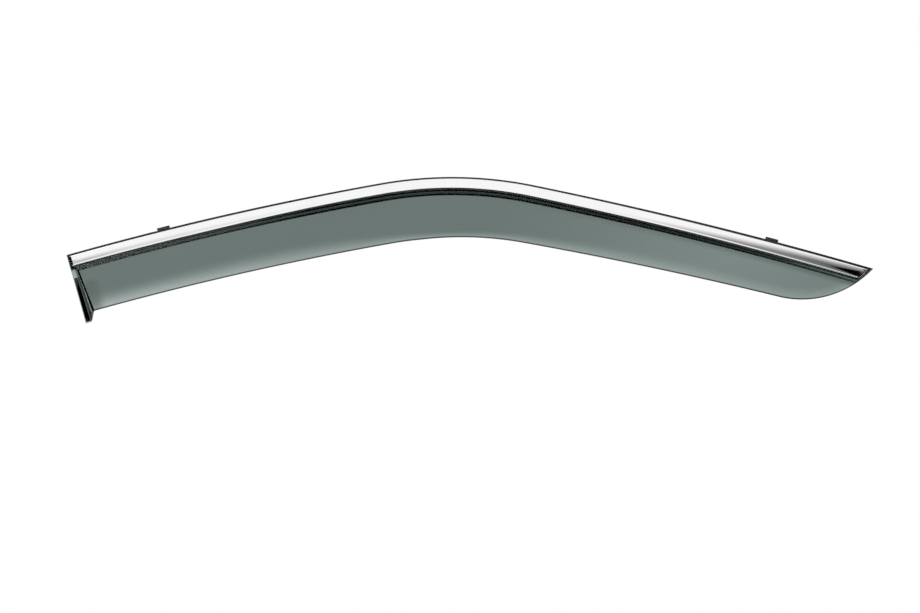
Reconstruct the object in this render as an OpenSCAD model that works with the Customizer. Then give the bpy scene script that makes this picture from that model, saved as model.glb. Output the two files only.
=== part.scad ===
// Window rain deflector for a right-hand front door, in the place it takes on the door.
// X points to the front of the car, Z points up and -Y points away from the door, whose face is
// the plane y = 0. The origin lies on the middle tape, 7.3 mm below the top edge's highest point.
//
// Places on the deflector are given by s, the way along the top edge from that highest point,
// by t, the distance square to the top edge and down from it, and by the depth off the door.

/* [Top edge] */
// Radius of the crown, the bend in the middle
crown_r = 480; // [350:10:700]
// Turn of the crown behind the highest point, in degrees
crown_rear_deg = 10; // [7:0.5:12]
// Turn of the crown ahead of the highest point, in degrees
crown_front_deg = 11.5; // [7:0.5:13]
// Radius of the long rear run
rear_run_r = 3800; // [2500:100:8000]
// Length of the rear run
rear_run_len = 380; // [300:5:430]
// Radius of the long front run
front_run_r = 5100; // [3000:100:9000]
// Length of the front run
front_run_len = 412; // [340:2:460]

/* [Moulding] */
// Wall thickness of the clear moulding
wall_t = 2.2; // [1.9:0.1:2.6]
// Thickness of the front part of the blade
blade_front_t = 1.75; // [1.4:0.05:1.9]
// Width at the rear end, from the top edge to the lower edge of the blade
rear_w = 72.5; // [62:0.5:84]
// Width where the nose begins
front_w = 62; // [54:0.5:72]
// Steepness of the shoulder between flange and blade at the rear end, in degrees
shoulder_rear_deg = 73; // [68:1:76]
// Steepness of the shoulder at the front, in degrees
shoulder_front_deg = 77; // [72:1:78]
// Distance that the shoulder stands out from the flange
shoulder_out = 10; // [8:0.5:12]
// Distance from the top edge to the lower end of the shoulder
bend_low = 22.4; // [22:0.1:24]
// Radius of the bend between flange and shoulder, in the middle of the wall
flange_bend_r = 4.5; // [3.5:0.1:4.8]
// Radius of the bend between shoulder and blade, in the middle of the wall
blade_bend_r = 1.4; // [1.4:0.1:2.4]
// Lean of the blade away from the door, in degrees
blade_lean = 13; // [6:1:18]
// Bow of the blade
blade_bow = 0.6; // [0:0.2:3]
// Thickness of the blade's lower edge at the rear end
edge_rear_t = 1; // [0.8:0.1:1.6]
// Thickness of the blade's lower edge from the crown to the tip
edge_t = 1.3; // [1:0.1:1.6]
// Height over which the blade thins down to that edge, over the rear run
rear_fade = 22; // [10:1:24]
// Same height at the crown
crown_fade = 8; // [5:1:20]
// Same height over the front run
front_fade = 17; // [8:1:20]
// Rounding of the outer top edge
rim_r = 0.6; // [0.3:0.1:0.9]

/* [Nose] */
// Radius of the nose, from the lower edge up to the tip
nose_r = 115; // [90:1:150]
// Distance that the shoulder stands out at the tip
nose_out = 2.5; // [1.5:0.5:6]
// Length over which the stand-off falls off towards the tip
nose_fade = 300; // [150:10:340]

/* [Return wall] */
// Draft of the wall that closes the rear end, in degrees
wall_draft = 18; // [8:1:24]
// Width of the foot lip below the flange, to the middle of the wall
lip_top_w = 5.4; // [5:0.1:8]
// Width of the foot lip at its lower end
lip_low_w = 7.6; // [6:0.1:10]
// Distance from the top edge to the lower end of the foot lip
foot_w = 83.5; // [74:0.5:92]
// Radius of the corner between return wall and blade, in the middle of the wall
corner_r = 2.4; // [1.8:0.1:4]
// Radius between return wall and foot lip, in the middle of the wall
root_r = 1.8; // [1.5:0.1:2.4]
// Thickness of the foot lip
lip_t = 1.2; // [1:0.1:1.8]

/* [Trim] */
// Strip of flange that shows above the trim at both ends
trim_reveal = 2.3; // [1.5:0.1:3]
// Same strip at the crown
trim_crown_reveal = 1.5; // [1:0.1:2.5]
// Distance from the top edge to the trim's lower edge, over the rear run
trim_rear_h = 14.5; // [12:0.1:15]
// Same distance at the crown
trim_crown_h = 13; // [11.5:0.1:14]
// Same distance at the tip
trim_tip_h = 16.1; // [13:0.1:17]
// Thickness of the trim
trim_side_t = 1.6; // [1.2:0.1:2.4]
// Rise of its crowned band over that
trim_crown = 0.6; // [0.2:0.1:1.2]
// Rounding of its rims
trim_rim_r = 0.6; // [0.3:0.1:0.7]
// Width of the rolled bead along the trim's lower edge
bead_w = 1.8; // [1.2:0.1:2.2]
// Rise of that bead
bead_rise = 0.14; // [0:0.02:0.4]
// Gap between the trim and the rear end of the flange
trim_end_gap = 2.2; // [1:0.1:4]
// Gap between the trim's tip and the edge of the nose, along the top edge
trim_tip_gap = 3.6; // [2:0.1:6]
// Flat of the flange that is left below the trim
trim_seat = 0.3; // [0:0.1:0.5]
// Length over which the trim rounds off at its ends
trim_end_r = 2.4; // [1.6:0.1:4]

/* [Tape] */
// Thickness of the foam tape
tape_t = 1.2; // [1.1:0.1:2]
// Width of the tape
tape_w = 18.2; // [16:0.1:18.5]
// Gap between the tape and the top edge or the rear end of the flange
tape_inset = 0.5; // [0.3:0.1:1]
// Gap between the front tape's end and the edge of the nose
tape_gap = 2; // [1:0.5:5]
// Gap between the tapes and a clip
clip_gap = 0.5; // [0.3:0.1:2]
// Distance from the top edge to the upper end of the foot pad
pad_start = 29; // [24:0.5:40]
// Width of the foot pad at its upper end
pad_top_w = 4.6; // [3:0.1:4.8]
// Width of the foot pad at its lower end
pad_low_w = 6.6; // [4:0.1:6.8]
// Gap between the foot pad and the lip's edges
pad_inset = 0.8; // [0.3:0.1:1.5]

/* [Clips] */
// Distance from the rear end to the rear clip
clip_rear_at = 118; // [70:1:200]
// Distance from the tip back to the front clip
clip_front_at = 124; // [90:1:200]
// Width of a clip
clip_w = 15; // [13:0.5:20]
// Thickness of the spring steel strip
clip_t = 0.6; // [0.5:0.1:0.7]
// Length of the leg behind the flange
clip_leg = 13; // [11:0.5:14]
// Height of the hook above the top edge
clip_rise = 3; // [2.8:0.1:7]
// Room in the hook for the edge of the door
clip_grip = 6; // [4.5:0.5:9]
// Length of the hook's free leg
clip_drop = 9; // [6:0.5:12]
// Inner radius of the strip's bends
clip_bend_r = 1.5; // [1:0.1:2]
// Turn of the free leg's end, in degrees
clip_flare_deg = 28; // [10:1:40]
// Length of that end
clip_flare = 2; // [1.5:0.5:4]
// Diameter of a stake, the peg that holds a clip
stake_d = 2.4; // [1.8:0.1:3]
// Distance between a clip's two stakes
stake_pitch = 8; // [6:0.5:9]
// Diameter of a stake's formed head
stake_head_d = 4; // [3.4:0.1:4.4]
// Clearance around a stake
stake_play = 0.1; // [0.05:0.05:0.2]

/* [Hidden] */
$fn = 48;

smoke = [0.32, 0.36, 0.35, 0.85];
bright = [0.86, 0.87, 0.88];
foam = [0.06, 0.06, 0.065];
steel = [0.2, 0.21, 0.24];

// The top edge is three arcs that run into each other: rear run, crown and front run
function deg(angle) = angle * 180 / PI;
function along(angle, r) = r * [sin(angle), cos(angle)];
function ramp(v) = max(0, min(1, v));
function ease(v) = let (u = ramp(v)) u * u * (3 - 2 * u);
function mix(a, b, v) = a + (b - a) * v;

crown_rear_len = crown_r * crown_rear_deg * PI / 180;
crown_front_len = crown_r * crown_front_deg * PI / 180;
rear_s = -crown_rear_len - rear_run_len;
tip_s = crown_front_len + front_run_len;
apex_z = 7.3;
crown_centre = [0, apex_z - crown_r];
rear_centre = crown_centre + along(-crown_rear_deg, crown_r - rear_run_r);
front_centre = crown_centre + along(crown_front_deg, crown_r - front_run_r);

function heading(s) =
    s < -crown_rear_len ? -crown_rear_deg + deg((s + crown_rear_len) / rear_run_r)
    : s > crown_front_len ? crown_front_deg + deg((s - crown_front_len) / front_run_r)
    : deg(s / crown_r);
function on_door(s, t) =
    let (a = heading(s))
    s < -crown_rear_len ? rear_centre + along(a, rear_run_r - t)
    : s > crown_front_len ? front_centre + along(a, front_run_r - t)
    : crown_centre + along(a, crown_r - t);
function place(s, t, depth) = let (p = on_door(s, t)) [p[0], -depth, p[1]];

// The nose is an arc that leaves the lower edge smoothly and ends at the tip
nose_reach = sqrt(nose_r * nose_r - pow(nose_r - front_w, 2));
nose_s = tip_s - nose_reach;
function lower_edge(s) =
    s < nose_s ? mix(rear_w, front_w, ramp((s + crown_rear_len / 2) / (nose_s + crown_rear_len / 2)))
    : front_w - nose_r + sqrt(max(0, nose_r * nose_r - pow(s - nose_s, 2)));
function nose_at(t) = nose_s + sqrt(nose_r * nose_r - pow(t + nose_r - front_w, 2));

// Distance from the top edge to the trim's edges and to the lower end of the flat flange
trim_wide_at = 130;
trim_wide_len = 190;
trim_grow = 1.25;
trim_reveal_len = 420;
function trim_low(s) =
    s < 0 ? mix(trim_crown_h, trim_rear_h, ease((-s - trim_wide_at) / trim_wide_len))
    : mix(trim_crown_h, trim_tip_h, pow(ramp(s / tip_s), trim_grow));
function trim_top(s) = mix(trim_crown_reveal, trim_reveal, ease(abs(s) / trim_reveal_len));
function flange_at(s) = trim_low(s) + trim_seat;
rear_flange_h = flange_at(rear_s);

// Stations along the top edge
join_len = 40;
join_s = rear_s + join_len;
run_step = 27;
crown_step = 13;
function steps(from, to, size) =
    let (n = ceil((to - from) / size)) [for (i = [0 : n - 1]) mix(from, to, i / n)];
function nose_stations(last_w, count) =
    let (turn = acos((last_w + nose_r - front_w) / nose_r))
    [for (i = [0 : count - 1]) nose_s + nose_r * sin(turn * i / (count - 1))];
function run_stations(from, to) = concat(
    steps(from, -crown_rear_len, run_step),
    steps(-crown_rear_len, crown_front_len, crown_step),
    steps(crown_front_len, to, run_step)
);

// Cross-section of the moulding: flange, bend, shoulder, bend and blade. side is the distance
// of a face from the middle of the wall, positive on the outside, and a is the shoulder's slope,
// which grows towards the front.
shoulder_share = 0.75;
half_t = wall_t / 2;
bend_h = shoulder_out - blade_bend_r * cos(blade_lean);
blade_t = bend_low - blade_bend_r * sin(blade_lean);

function shoulder(s) =
    mix(shoulder_rear_deg, shoulder_front_deg, ease((s - rear_s) / (tip_s - rear_s) / shoulder_share));
// Where the flange ends in the plain cross-section
function flange_low(a) =
    let (rise = flange_bend_r * (1 - cos(a)) + blade_bend_r * (cos(blade_lean) - cos(a)))
    bend_low - (flange_bend_r + blade_bend_r) * sin(a) - (shoulder_out - rise) / tan(a);
function section_h(u, side, w, a) =
    let (r1 = flange_bend_r - side, r2 = blade_bend_r + side,
         u0 = flange_low(a),
         u1 = u0 + r1 * sin(a),
         u2 = bend_low - r2 * sin(a),
         u3 = bend_low - r2 * sin(blade_lean))
    u <= u0 ? side
    : u < u1 ? flange_bend_r - sqrt(r1 * r1 - pow(u - u0, 2))
    : u < u2 ? flange_bend_r - r1 * cos(a) + (u - u1) * tan(a)
    : u < u3 ? bend_h + sqrt(r2 * r2 - pow(u - bend_low, 2))
    : let (f = (u - u3) / max(1, w - u3))
      bend_h + r2 * cos(blade_lean) + (u - u3) * tan(blade_lean) + 4 * blade_bow * f * (1 - f);
// The flange really ends at flange_at: spread gives the place at s of a place u in the plain
// cross-section, and gathered is its inverse.
function spread(s, u) =
    let (low = flange_low(shoulder(s)))
    u <= rim_r || u >= bend_low ? u
    : u <= low ? mix(rim_r, flange_at(s), (u - rim_r) / (low - rim_r))
    : mix(flange_at(s), bend_low, (u - low) / (bend_low - low));
function gathered(s, t) =
    t >= bend_low ? t
    : mix(flange_low(shoulder(s)), bend_low, ramp((t - flange_at(s)) / (bend_low - flange_at(s))));
// Share of the full stand-off that is left at a station
function stand_off(s) =
    mix(1, nose_out / shoulder_out, ease((s - tip_s + nose_fade) / nose_fade));
// The blade thins towards the front and down to its lower edge
thin_start = 20;
thin_len = 380;
blade_blend = 7;
fade_len = 220;
function half_wall(s, t, w) =
    let (blade = mix(wall_t, blade_front_t, ease((s - thin_start) / thin_len)),
         edge = mix(edge_rear_t, edge_t, ease((s - rear_s) / rear_run_len)),
         fade = mix(crown_fade, s < 0 ? rear_fade : front_fade, ease(abs(s) / fade_len)),
         thin = mix(blade, edge, ease(1 - (w - t) / fade)))
    mix(wall_t, thin, ease((t - blade_t) / blade_blend)) / 2;

// Rows run down the cross-section. Each has its distance from the top edge, how much of the
// wall's half thickness is left there, and how close it may come to the lower edge.
bend_rows = 4;
blade_rows = [0.14, 0.3, 0.5, 0.7, 0.86, 1];
edge_turns = [28, 54, 76];
edge_r = edge_t / 2;
row_gap = 0.15;
flange_row = 2;
shoulder_row = flange_row + bend_rows;
blade_row = shoulder_row + 1 + bend_rows;
round_row = blade_row + len(blade_rows);
last_row = round_row + len(edge_turns);

function row_room(j) =
    j > round_row ? edge_r * (1 - sin(edge_turns[j - round_row - 1]))
    : edge_r + (round_row - j) * row_gap;
function row_keep(j) = j > round_row ? cos(edge_turns[j - round_row - 1]) : 1;
function row_goal(j, side, w, a) =
    let (r1 = flange_bend_r - side, r2 = blade_bend_r + side,
         u3 = bend_low - r2 * sin(blade_lean))
    j == 0 ? 0
    : j == 1 ? rim_r
    : j == flange_row ? flange_low(a)
    : j <= shoulder_row ? flange_low(a) + r1 * sin(a * (j - flange_row) / bend_rows)
    : j <= blade_row ? bend_low - r2 * sin(mix(a, blade_lean, (j - shoulder_row - 1) / bend_rows))
    : j <= round_row
        ? mix(u3, w - edge_r, blade_rows[j - blade_row - 1] * (w > u3 + edge_r ? 1 : 0))
    : w;
function row_t(s, j, side, w) =
    j == 0 ? 0 : min(spread(s, row_goal(j, side, w, shoulder(s))), w - row_room(j));
function row_side(j, face) =
    face * half_t * row_keep(j) - (j == 0 && face > 0 ? rim_r : 0);

// Height over the middle of the flange at a station and row
function face_h(s, t, j, face, w) =
    let (side = face * half_wall(s, t, w) * row_keep(j) - (j == 0 && face > 0 ? rim_r : 0))
    side + (section_h(gathered(s, t), side, w, shoulder(s)) - side) * stand_off(s);

// Across the rear end each row steps down from the blade to the foot lip, which is thinner
lip_blend = 4;
lip_start = 6;
turn_deg = 90 - wall_draft;
turn_cols = 4;
wall_cols = 2 * (turn_cols + 1);
function lip_w(t) =
    mix(lip_top_w, lip_low_w, ramp((t - rear_flange_h) / (foot_w - rear_flange_h)));
function wall_point(k, j, face) =
    let (w = rear_w,
         t = row_t(rear_s, j, face * half_t, w),
         low = row_side(j, face),
         high = face_h(rear_s, t, j, face, w),
         rise = max(0, high - low),
         r_low = root_r - low, r_high = corner_r + low,
         shrink = min(1, rise / ((r_low + r_high) * (1 - cos(turn_deg)))),
         bend = k <= turn_cols ? r_low * shrink : r_high * shrink,
         turn = turn_deg * (k <= turn_cols ? k : wall_cols - 1 - k) / turn_cols,
         foot = lip_w(t) + low * tan(wall_draft) - low / cos(wall_draft),
         head = foot + rise * tan(wall_draft),
         s = k <= turn_cols ? foot - bend * (tan(turn_deg / 2) - sin(turn))
             : head + bend * (tan(turn_deg / 2) - sin(turn)),
         up = k <= turn_cols ? bend * (1 - cos(turn)) : rise - bend * (1 - cos(turn)),
         v = rise > 0 ? up / rise : 0,
         stretch = (mix(foot_w, w, v) - rear_flange_h) / (w - rear_flange_h),
         thin = face > 0 ? (wall_t - lip_t) * row_keep(j) * ease((t - rear_flange_h) / lip_start) : 0)
    [s, t <= rear_flange_h ? t : rear_flange_h + (t - rear_flange_h) * stretch,
     low + up - thin * (1 - ease(up / lip_blend))];

// The last station lies where the moulding is this wide, and the tip is cut off blunt
nose_cols = 14;
last_w = 3.6;
tip_w = 0.9;
stations = concat(run_stations(join_s, nose_s), nose_stations(last_w, nose_cols));

// Columns run from the foot lip's edge over the return wall, the corner and the blade to the tip
join_cols = 4;
wall_col = 1 + wall_cols;
join_col = wall_col + join_cols;
tip_col = join_col + len(stations);
cols = tip_col + 1;
rows = last_row + 1;

function moulding_point(c, j, face) =
    c == 0 ? let (p = wall_point(0, j, face)) place(rear_s, p[1], tape_t + half_t + p[2])
    : c < wall_col ? let (p = wall_point(c - 1, j, face))
        place(rear_s + p[0], p[1], tape_t + half_t + p[2])
    : c < join_col ? let (p = wall_point(wall_cols - 1, j, face),
        f = (c - wall_col + 1) / (join_cols + 1))
        place(mix(rear_s + p[0], join_s, f * f), p[1], tape_t + half_t + p[2])
    : let (s = c < tip_col ? stations[c - join_col] : nose_at(tip_w),
           w = max(tip_w, lower_edge(s)),
           t = c < tip_col ? row_t(s, j, face * half_t, w) : j == 0 ? 0 : j == 1 ? tip_w / 2 : w)
      place(s, t, tape_t + half_t + face_h(s, t, j, face, w));

// Rows of the flange meet in one point across the return wall, and the tip has three points
function moulding_index(c, j, face) =
    let (col = j <= flange_row && c > 0 && c < wall_col ? 1 : c,
         row = c == tip_col && j > 1 ? last_row : j)
    (face > 0 ? 0 : cols * rows) + col * rows + row;

// A four-sided patch as two triangles, less the ones that have shrunk to a line
function patch(a, b, c, d) =
    [for (f = [[a, b, c], [a, c, d]]) if (f[0] != f[1] && f[1] != f[2] && f[2] != f[0]) f];
function joined(lists) = [for (l = lists) for (item = l) item];

module moulding_shell() {
    points = [for (face = [1, -1]) for (c = [0 : cols - 1]) for (j = [0 : last_row])
        moulding_point(c, j, face)];
    outside = joined([for (c = [0 : cols - 2]) for (j = [0 : last_row - 1])
        patch(moulding_index(c, j, 1), moulding_index(c + 1, j, 1),
              moulding_index(c + 1, j + 1, 1), moulding_index(c, j + 1, 1))]);
    inside = joined([for (c = [0 : cols - 2]) for (j = [0 : last_row - 1])
        patch(moulding_index(c, j, -1), moulding_index(c, j + 1, -1),
              moulding_index(c + 1, j + 1, -1), moulding_index(c + 1, j, -1))]);
    long_rims = joined([for (c = [0 : cols - 2]) concat(
        patch(moulding_index(c, 0, 1), moulding_index(c, 0, -1),
              moulding_index(c + 1, 0, -1), moulding_index(c + 1, 0, 1)),
        patch(moulding_index(c, last_row, 1), moulding_index(c + 1, last_row, 1),
              moulding_index(c + 1, last_row, -1), moulding_index(c, last_row, -1)))]);
    end_rims = joined([for (j = [0 : last_row - 1]) concat(
        patch(moulding_index(0, j, 1), moulding_index(0, j + 1, 1),
              moulding_index(0, j + 1, -1), moulding_index(0, j, -1)),
        patch(moulding_index(tip_col, j, 1), moulding_index(tip_col, j, -1),
              moulding_index(tip_col, j + 1, -1), moulding_index(tip_col, j + 1, 1)))]);
    polyhedron(points, concat(outside, inside, long_rims, end_rims), convexity = 8);
}

// Moves a piece from its own axes to the top edge at s: its X runs along the edge, its Y points
// to the door and its Z points up, square to the edge
module at_edge(s) {
    p = on_door(s, 0);
    translate([p[0], 0, p[1]]) rotate([0, heading(s), 0]) children();
}
clip_rear_s = rear_s + clip_rear_at;
clip_front_s = tip_s - clip_front_at;
stake_t = clip_leg / 2;
stake_root = 1;
head_gap = 0.1;
head_t = tape_t - clip_t - head_gap;

// A stake grows out of the flange, and its head is formed over the clip's leg
module stake() {
    translate([0, -tape_t - stake_root, 0]) rotate([-90, 0, 0]) {
        cylinder(d = stake_d, h = stake_root + clip_t + head_t / 2);
        translate([0, 0, stake_root + clip_t])
            cylinder(d1 = stake_head_d, d2 = stake_d, h = head_t);
    }
}

module visor_moulding() {
    color(smoke) {
        moulding_shell();
        for (s = [clip_rear_s, clip_front_s]) at_edge(s)
            for (side = [-1, 1]) translate([side * stake_pitch / 2, 0, -stake_t]) stake();
    }
}

// The trim's face: a crowned band and a low bead with a valley between them, and rounded rims
rim_rows = 2;
band_rows = 7;
bead_rows = 3;
trim_last = band_rows + bead_rows + 2 * rim_rows;
rim_places = [for (i = [0 : rim_rows]) trim_rim_r * (1 - cos(90 * i / rim_rows))];
function trim_places(top, low) =
    let (valley = low - bead_w)
    concat(
        [for (v = rim_places) top + v],
        [for (i = [1 : band_rows]) mix(top + trim_rim_r, valley, i / band_rows)],
        [for (i = [1 : bead_rows]) mix(valley, low - trim_rim_r, i / bead_rows)],
        [for (i = [rim_rows - 1 : -1 : 0]) low - rim_places[i]]
    );
function round_off(x) = let (u = ramp(x)) sqrt(max(0, 1 - (1 - u) * (1 - u)));
function trim_h(t, top, low) =
    let (valley = low - bead_w,
         f = (t - top) / (valley - top),
         raised = f < 1 ? 4 * trim_crown * f * (1 - f) : bead_rise * sin(180 * (t - valley) / bead_w),
         rim = min(t - top, low - t) / trim_rim_r)
    trim_side_t + raised - trim_rim_r * (1 - round_off(rim));

// Columns of the trim stand square to the top edge, and lean over to the line of the nose near
// the tip. The last ones at both ends lie close together, where the face rounds off.
end_shares = [0, 0.08, 0.22, 0.45, 0.75, 1];
end_cols = len(end_shares);
end_t = 0.25;
trim_lean_len = 60;
function trim_tip_s(t) = nose_at(t) - trim_tip_gap;
trim_stop_s = trim_tip_s(trim_tip_h);
stop_places = trim_places(trim_top(trim_stop_s), trim_low(trim_stop_s));
trim_run = concat(
    run_stations(rear_s + trim_end_gap + 2 * trim_end_r, trim_stop_s - 2 * trim_end_r),
    [trim_stop_s - 2 * trim_end_r]
);
trim_cols = 2 * end_cols + len(trim_run);
trim_ring = trim_last + 3;
function trim_off(c) =
    c < end_cols ? end_shares[c] * trim_end_r
    : c >= trim_cols - end_cols ? end_shares[trim_cols - 1 - c] * trim_end_r : trim_end_r;
function trim_s(c, t) =
    let (s = c < end_cols ? rear_s + trim_end_gap + trim_off(c)
         : c >= trim_cols - end_cols ? trim_stop_s - trim_off(c)
         : trim_run[c - end_cols])
    s + (trim_tip_s(t) - trim_stop_s) * ease((s - trim_stop_s + trim_lean_len) / trim_lean_len);

// One ring of the trim: its face, then the two corners of its back
function trim_point(c, i) =
    let (row = i <= trim_last ? i : i == trim_last + 1 ? trim_last : 0,
         s = trim_s(c, stop_places[row]),
         t = trim_places(trim_top(s), trim_low(s))[row],
         h = max(end_t, trim_h(t, trim_top(s), trim_low(s)) * round_off(trim_off(c) / trim_end_r)))
    place(s, t, tape_t + wall_t + (i > trim_last ? 0 : h));

module chrome_trim() {
    points = [for (c = [0 : trim_cols - 1]) for (i = [0 : trim_ring - 1])
        trim_point(c, i)];
    skin = joined([for (c = [0 : trim_cols - 2]) for (i = [0 : trim_ring - 1])
        let (n = (i + 1) % trim_ring)
        patch(c * trim_ring + i, (c + 1) * trim_ring + i,
              (c + 1) * trim_ring + n, c * trim_ring + n)]);
    hub = trim_last + 1;
    tip = (trim_cols - 1) * trim_ring;
    caps = joined([for (i = [0 : trim_last - 1]) [
        [hub, i, i + 1],
        [tip + hub, tip + i + 1, tip + i]
    ]]);
    back = [[hub, hub + 1, 0], [tip + hub, tip, tip + hub + 1]];
    color(bright) polyhedron(points, concat(skin, caps, back), convexity = 6);
}

// Foam tape: a flat strip between two lines that follow the top edge. The upper and the lower
// line each run from one place to another.
tape_low = tape_inset + tape_w;
least_step = 1;
function tape_line(from, to, t) = concat(
    [on_door(from, t)],
    [for (s = stations) if (s > from + least_step && s < to - least_step) on_door(s, t)],
    [on_door(to, t)]
);
function backwards(list) = [for (i = [len(list) - 1 : -1 : 0]) list[i]];
module tape(outline) {
    color(foam) rotate([90, 0, 0]) linear_extrude(tape_t) polygon(outline);
}

clip_room = clip_w / 2 + clip_gap;
rear_tape_end = clip_rear_s - clip_room;
front_tape_start = clip_front_s + clip_room;

module tape_rear() {
    from = rear_s + tape_inset;
    tape(concat(
        tape_line(from, rear_tape_end, tape_inset),
        backwards(tape_line(from, rear_tape_end, tape_low))
    ));
}
// The middle tape is notched at the clips: its lower part runs on below them
module tape_middle() {
    notch = clip_leg + clip_gap;
    from = clip_rear_s + clip_room;
    to = clip_front_s - clip_room;
    low_from = rear_tape_end + clip_gap;
    low_to = front_tape_start - clip_gap;
    tape(concat(
        tape_line(from, to, tape_inset),
        [on_door(to, notch), on_door(low_to, notch)],
        backwards(tape_line(low_from, low_to, tape_low)),
        [on_door(low_from, notch), on_door(from, notch)]
    ));
}
module tape_front() {
    tape(concat(
        tape_line(front_tape_start, nose_at(tape_inset) - tape_gap, tape_inset),
        backwards(tape_line(front_tape_start, nose_at(tape_low) - tape_gap, tape_low))
    ));
}
module foot_pad() {
    left = rear_s + pad_inset;
    pad_end = foot_w - pad_inset - edge_r;
    tape([
        on_door(left, pad_start), on_door(left + pad_top_w, pad_start),
        on_door(left + pad_low_w, pad_end), on_door(left, pad_end)
    ]);
}

// Side view of a clip, as one outline: up the outside of the leg, over the bridge and down the
// free leg to its turned-out end, and back along the inside. X points to the door and Y up, from
// the top edge.
bend_steps = 6;
function arc(centre, r, from, to) =
    [for (i = [0 : bend_steps]) let (a = mix(from, to, i / bend_steps)) centre + r * [cos(a), sin(a)]];
module clip_side() {
    bridge_y = clip_rise - clip_bend_r - clip_t;
    outer_r = clip_bend_r + clip_t;
    leg_bend = [-tape_t + outer_r, bridge_y];
    free_bend = [clip_grip - clip_bend_r, bridge_y];
    flare_bend = [clip_grip + outer_r, bridge_y - clip_drop];
    flare_to = 180 + clip_flare_deg;
    flare_way = clip_flare * [sin(clip_flare_deg), -cos(clip_flare_deg)];
    outside = concat(arc(leg_bend, outer_r, 180, 90), arc(free_bend, outer_r, 90, 0),
        arc(flare_bend, clip_bend_r, 180, flare_to));
    inside = concat(arc(flare_bend, outer_r, flare_to, 180), arc(free_bend, clip_bend_r, 0, 90),
        arc(leg_bend, clip_bend_r, 90, 180));
    polygon(concat(
        [[-tape_t, -clip_leg]], outside,
        [outside[len(outside) - 1] + flare_way, inside[0] + flare_way],
        inside, [[-tape_t + clip_t, -clip_leg]]
    ));
}
module clip(s) {
    color(steel) at_edge(s) difference() {
        rotate([90, 0, 90]) translate([0, 0, -clip_w / 2]) linear_extrude(clip_w) clip_side();
        for (side = [-1, 1]) translate([side * stake_pitch / 2, 0, -stake_t])
            rotate([90, 0, 0]) cylinder(d = stake_d + 2 * stake_play, h = 2 * tape_t);
    }
}
module clip_rear() clip(clip_rear_s);
module clip_front() clip(clip_front_s);

visor_moulding();
chrome_trim();
tape_rear();
tape_middle();
tape_front();
foot_pad();
clip_rear();
clip_front();
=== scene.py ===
# The looks of a window rain deflector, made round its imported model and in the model's own frame:
# X points to the front of the car, Z up and -Y away from the door. Sizes are in millimetres, and
# a point becomes metres when it is placed.
import math
from collections import namedtuple

import bmesh
import bpy
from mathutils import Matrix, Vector

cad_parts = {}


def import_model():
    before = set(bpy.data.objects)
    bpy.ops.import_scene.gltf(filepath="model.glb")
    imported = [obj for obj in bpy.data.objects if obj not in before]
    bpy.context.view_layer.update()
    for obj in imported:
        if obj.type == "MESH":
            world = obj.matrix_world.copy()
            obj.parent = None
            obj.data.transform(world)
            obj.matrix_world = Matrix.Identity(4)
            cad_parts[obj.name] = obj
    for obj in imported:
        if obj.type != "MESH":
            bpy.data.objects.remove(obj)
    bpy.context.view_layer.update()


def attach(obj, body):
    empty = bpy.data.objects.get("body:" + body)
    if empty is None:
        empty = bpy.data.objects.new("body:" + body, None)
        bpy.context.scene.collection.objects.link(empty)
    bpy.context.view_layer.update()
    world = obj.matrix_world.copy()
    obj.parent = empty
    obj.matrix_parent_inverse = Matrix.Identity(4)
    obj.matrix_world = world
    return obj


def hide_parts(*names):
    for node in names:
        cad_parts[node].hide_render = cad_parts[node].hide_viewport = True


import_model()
MM = 0.001
QUARTER_TURN = math.pi / 2

# Camera: level, square to the door and far away, with the photograph's own view
VIEW_WIDTH = 1083
VIEW_CENTRE = (9.3, -145.2)
VIEW_DISTANCE = 7000
SENSOR_WIDTH = 36

# Top edge: rear run, crown and front run, three arcs that run into each other
CROWN_R = 480
CROWN_REAR = math.radians(10)
CROWN_FRONT = math.radians(11.5)
REAR_RUN_R = 3800
REAR_RUN_LEN = 380
FRONT_RUN_R = 5100
FRONT_RUN_LEN = 412

# Moulding
WALL = 2.2
REAR_W = 72.5
FRONT_W = 62
SHOULDER_REAR = math.radians(73)
SHOULDER_FRONT = math.radians(77)
SHOULDER_OUT = 10
FLANGE_BEND_R = 4.5
BLADE_BEND_R = 1.4
BEND_LOW = 22.4
SHOULDER_SHARE = 0.75
LEAN = math.radians(13)
BLADE_BOW = 0.6
FRONT_BLADE_T = 1.75
THIN_START = 20
THIN_LEN = 380
BLADE_BLEND = 7
EDGE_REAR_T = 1
EDGE_T = 1.3
REAR_FADE = 22
CROWN_FADE = 8
FRONT_FADE = 17
FADE_LEN = 220
RIM_R = 0.6
NOSE_R = 115
NOSE_OUT = 2.5
NOSE_FADE = 300
WALL_DRAFT = math.radians(18)
LIP_TOP_W = 5.4
LIP_LOW_W = 7.6
FOOT_W = 83.5
CORNER_R = 2.4
ROOT_R = 1.8
LIP_T = 1.2
LIP_BLEND = 4
LIP_START = 6

# Trim
TRIM_REVEAL = 2.3
TRIM_CROWN_REVEAL = 1.5
TRIM_REVEAL_LEN = 420
TRIM_REAR_H = 14.5
TRIM_CROWN_H = 13
TRIM_TIP_H = 16.1
TRIM_GROW = 1.25
TRIM_WIDE_AT = 130
TRIM_WIDE_LEN = 190
TRIM_SIDE_T = 1.6
TRIM_CROWN = 0.6
TRIM_RIM_R = 0.6
BEAD_W = 1.8
BEAD_RISE = 0.14
TRIM_END_GAP = 2.2
TRIM_TIP_GAP = 3.6
TRIM_SEAT = 0.3
TRIM_END_R = 2.4
TRIM_END_T = 0.25
TRIM_LEAN_LEN = 60

# Foam tape and foot pad
TAPE_T = 1.2
TAPE_W = 18.2
TAPE_INSET = 0.5
TAPE_GAP = 2
CLIP_GAP = 0.5
PAD_START = 29
PAD_TOP_W = 4.6
PAD_LOW_W = 6.6
PAD_INSET = 0.8

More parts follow.
